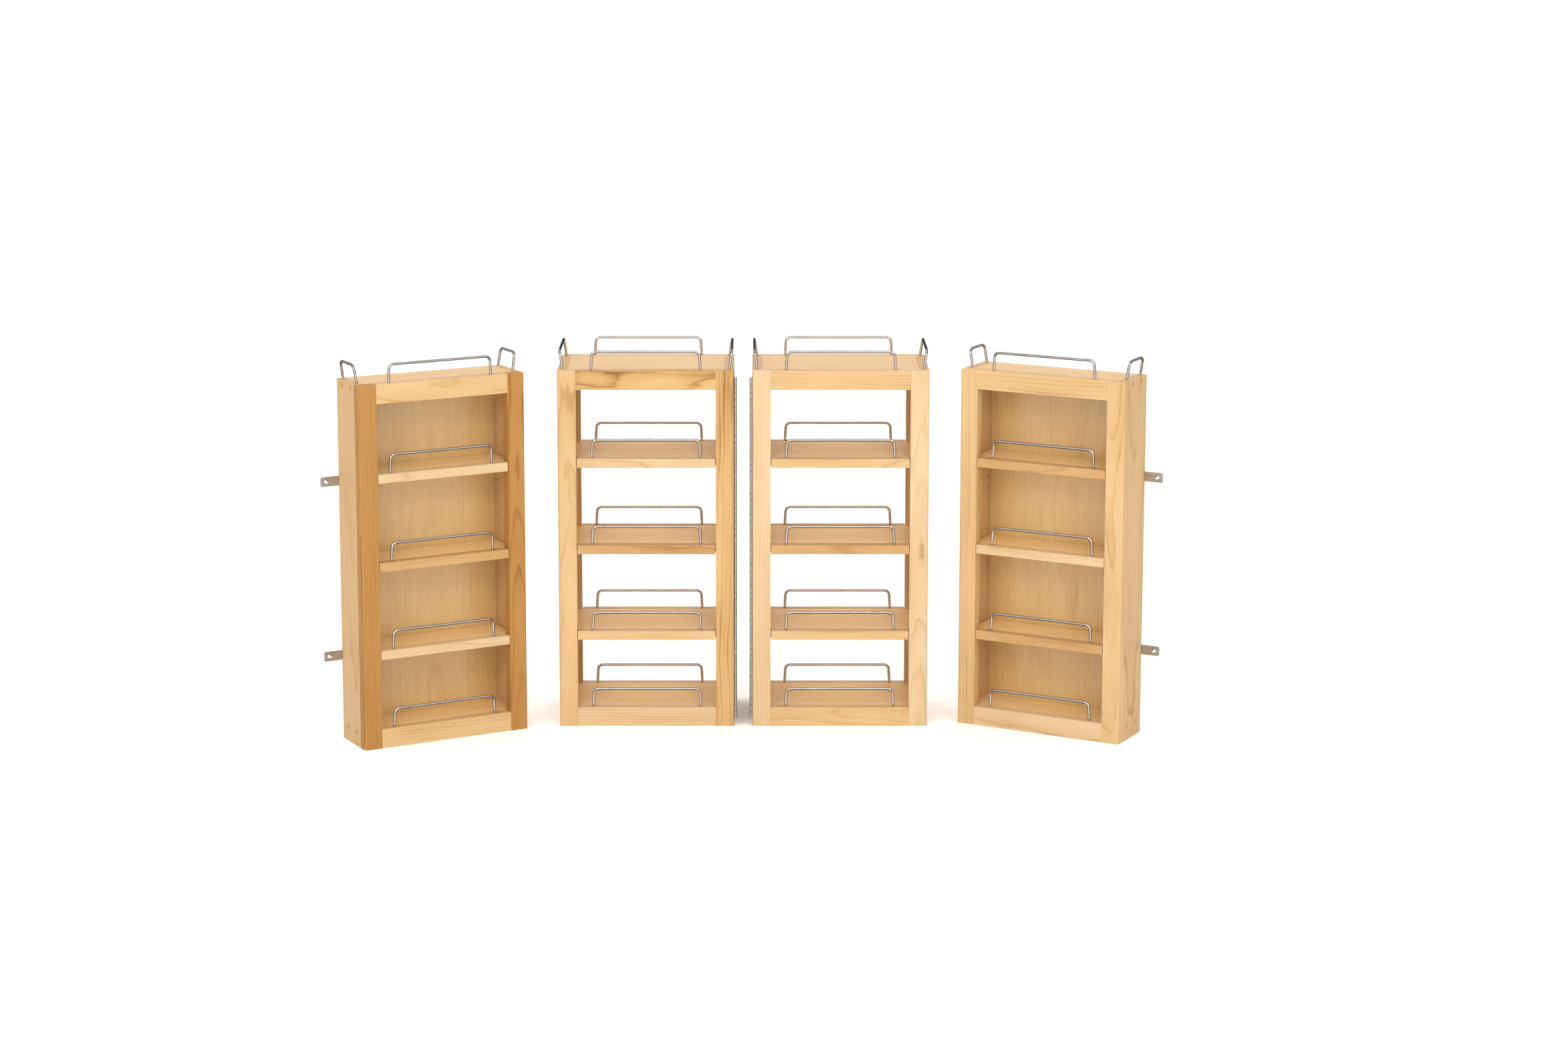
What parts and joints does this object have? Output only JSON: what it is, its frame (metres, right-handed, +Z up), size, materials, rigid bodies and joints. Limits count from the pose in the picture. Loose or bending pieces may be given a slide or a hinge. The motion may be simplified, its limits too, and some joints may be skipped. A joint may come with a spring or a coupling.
{
  "type": "pantry organiser set",
  "caption": "Maple pantry storage set: swing-out racks on piano hinges and shallow door racks, with loose shelves and chromed wire rails.",
  "frame": {"origin": "middle of the set's bounding box, at the floor that the racks stand on", "axes": "+X along the row of racks, from the left door rack to the right one; -Y the front, which the racks' faces look towards; +Z up"},
  "size_m": [1.4368, 0.352, 0.6622],
  "materials": {
    "lacquered_maple": "clear satin lacquer over honey-coloured maple",
    "maple_plywood": "clear lacquer over rotary-cut maple veneer",
    "chromed_wire": "polished chrome plate",
    "nickelled_steel": "satin nickel plate"
  },
  "bodies": {
    "fixed_set": {"left_door_back_panel": "maple_plywood", "left_door_bottom_board": "lacquered_maple", "left_door_face_frame": "lacquered_maple", "left_door_inner_side": "lacquered_maple", "left_door_lower_inner_tab": "nickelled_steel", "left_door_lower_outer_tab": "nickelled_steel", "left_door_outer_side": "lacquered_maple", "left_door_top_board": "lacquered_maple", "left_door_top_front_rail": "chromed_wire", "left_door_top_inner_rail": "chromed_wire", "left_door_top_outer_rail": "chromed_wire", "left_door_upper_inner_tab": "nickelled_steel", "left_door_upper_outer_tab": "nickelled_steel", "left_swing_hinge_cabinet_leaf": "nickelled_steel", "left_swing_hinge_pin": "nickelled_steel", "right_door_back_panel": "maple_plywood", "right_door_bottom_board": "lacquered_maple", "right_door_face_frame": "lacquered_maple", "right_door_inner_side": "lacquered_maple", "right_door_lower_inner_tab": "nickelled_steel", "right_door_lower_outer_tab": "nickelled_steel", "right_door_outer_side": "lacquered_maple", "right_door_top_board": "lacquered_maple", "right_door_top_front_rail": "chromed_wire", "right_door_top_inner_rail": "chromed_wire", "right_door_top_outer_rail": "chromed_wire", "right_door_upper_inner_tab": "nickelled_steel", "right_door_upper_outer_tab": "nickelled_steel", "right_swing_hinge_cabinet_leaf": "nickelled_steel", "right_swing_hinge_pin": "nickelled_steel"},
    "left_swing_rack": {"left_swing_back_frame": "lacquered_maple", "left_swing_bottom_board": "lacquered_maple", "left_swing_free_side": "lacquered_maple", "left_swing_front_frame": "lacquered_maple", "left_swing_hinge_rack_leaf": "nickelled_steel", "left_swing_hinge_side": "lacquered_maple", "left_swing_top_back_rail": "chromed_wire", "left_swing_top_board": "lacquered_maple", "left_swing_top_front_rail": "chromed_wire"},
    "right_swing_rack": {"right_swing_back_frame": "lacquered_maple", "right_swing_bottom_board": "lacquered_maple", "right_swing_free_side": "lacquered_maple", "right_swing_front_frame": "lacquered_maple", "right_swing_hinge_rack_leaf": "nickelled_steel", "right_swing_hinge_side": "lacquered_maple", "right_swing_top_back_rail": "chromed_wire", "right_swing_top_board": "lacquered_maple", "right_swing_top_front_rail": "chromed_wire"},
    "left_door_shelf_1_body": {"left_door_shelf_1": "lacquered_maple"},
    "left_door_shelf_2_body": {"left_door_shelf_2": "lacquered_maple"},
    "left_door_shelf_3_body": {"left_door_shelf_3": "lacquered_maple"},
    "left_swing_shelf_1_body": {"left_swing_shelf_1": "lacquered_maple"},
    "left_swing_shelf_2_body": {"left_swing_shelf_2": "lacquered_maple"},
    "left_swing_shelf_3_body": {"left_swing_shelf_3": "lacquered_maple"},
    "right_door_shelf_1_body": {"right_door_shelf_1": "lacquered_maple"},
    "right_door_shelf_2_body": {"right_door_shelf_2": "lacquered_maple"},
    "right_door_shelf_3_body": {"right_door_shelf_3": "lacquered_maple"},
    "right_swing_shelf_1_body": {"right_swing_shelf_1": "lacquered_maple"},
    "right_swing_shelf_2_body": {"right_swing_shelf_2": "lacquered_maple"},
    "right_swing_shelf_3_body": {"right_swing_shelf_3": "lacquered_maple"}
  },
  "joints": [
    {"name": "left_swing_hinge", "type": "hinge", "parent": "fixed_set", "child": "left_swing_rack", "pos_m": [-0.01297, -0.01197, 0], "axis": [0, 0, 1], "range_deg": [0, 90]},
    {"name": "right_swing_hinge", "type": "hinge", "parent": "fixed_set", "child": "right_swing_rack", "pos_m": [0.01338, -0.01197, 0], "axis": [0, 0, -1], "range_deg": [0, 90]},
    {"name": "left_swing_shelf_1_lift", "type": "slide", "parent": "left_swing_rack", "child": "left_swing_shelf_1_body", "axis": [0, 0, 1], "range_m": [0, 0.0762]},
    {"name": "left_swing_shelf_2_lift", "type": "slide", "parent": "left_swing_rack", "child": "left_swing_shelf_2_body", "axis": [0, 0, 1], "range_m": [0, 0.0762]},
    {"name": "left_swing_shelf_3_lift", "type": "slide", "parent": "left_swing_rack", "child": "left_swing_shelf_3_body", "axis": [0, 0, 1], "range_m": [0, 0.0762]},
    {"name": "left_door_shelf_1_lift", "type": "slide", "parent": "fixed_set", "child": "left_door_shelf_1_body", "axis": [0, 0, 1], "range_m": [0, 0.0762]},
    {"name": "left_door_shelf_2_lift", "type": "slide", "parent": "fixed_set", "child": "left_door_shelf_2_body", "axis": [0, 0, 1], "range_m": [0, 0.0762]},
    {"name": "left_door_shelf_3_lift", "type": "slide", "parent": "fixed_set", "child": "left_door_shelf_3_body", "axis": [0, 0, 1], "range_m": [0, 0.0762]},
    {"name": "right_swing_shelf_1_lift", "type": "slide", "parent": "right_swing_rack", "child": "right_swing_shelf_1_body", "axis": [0, 0, 1], "range_m": [0, 0.0762]},
    {"name": "right_swing_shelf_2_lift", "type": "slide", "parent": "right_swing_rack", "child": "right_swing_shelf_2_body", "axis": [0, 0, 1], "range_m": [0, 0.0762]},
    {"name": "right_swing_shelf_3_lift", "type": "slide", "parent": "right_swing_rack", "child": "right_swing_shelf_3_body", "axis": [0, 0, 1], "range_m": [0, 0.0762]},
    {"name": "right_door_shelf_1_lift", "type": "slide", "parent": "fixed_set", "child": "right_door_shelf_1_body", "axis": [0, 0, 1], "range_m": [0, 0.0762]},
    {"name": "right_door_shelf_2_lift", "type": "slide", "parent": "fixed_set", "child": "right_door_shelf_2_body", "axis": [0, 0, 1], "range_m": [0, 0.0762]},
    {"name": "right_door_shelf_3_lift", "type": "slide", "parent": "fixed_set", "child": "right_door_shelf_3_body", "axis": [0, 0, 1], "range_m": [0, 0.0762]}
  ]
}
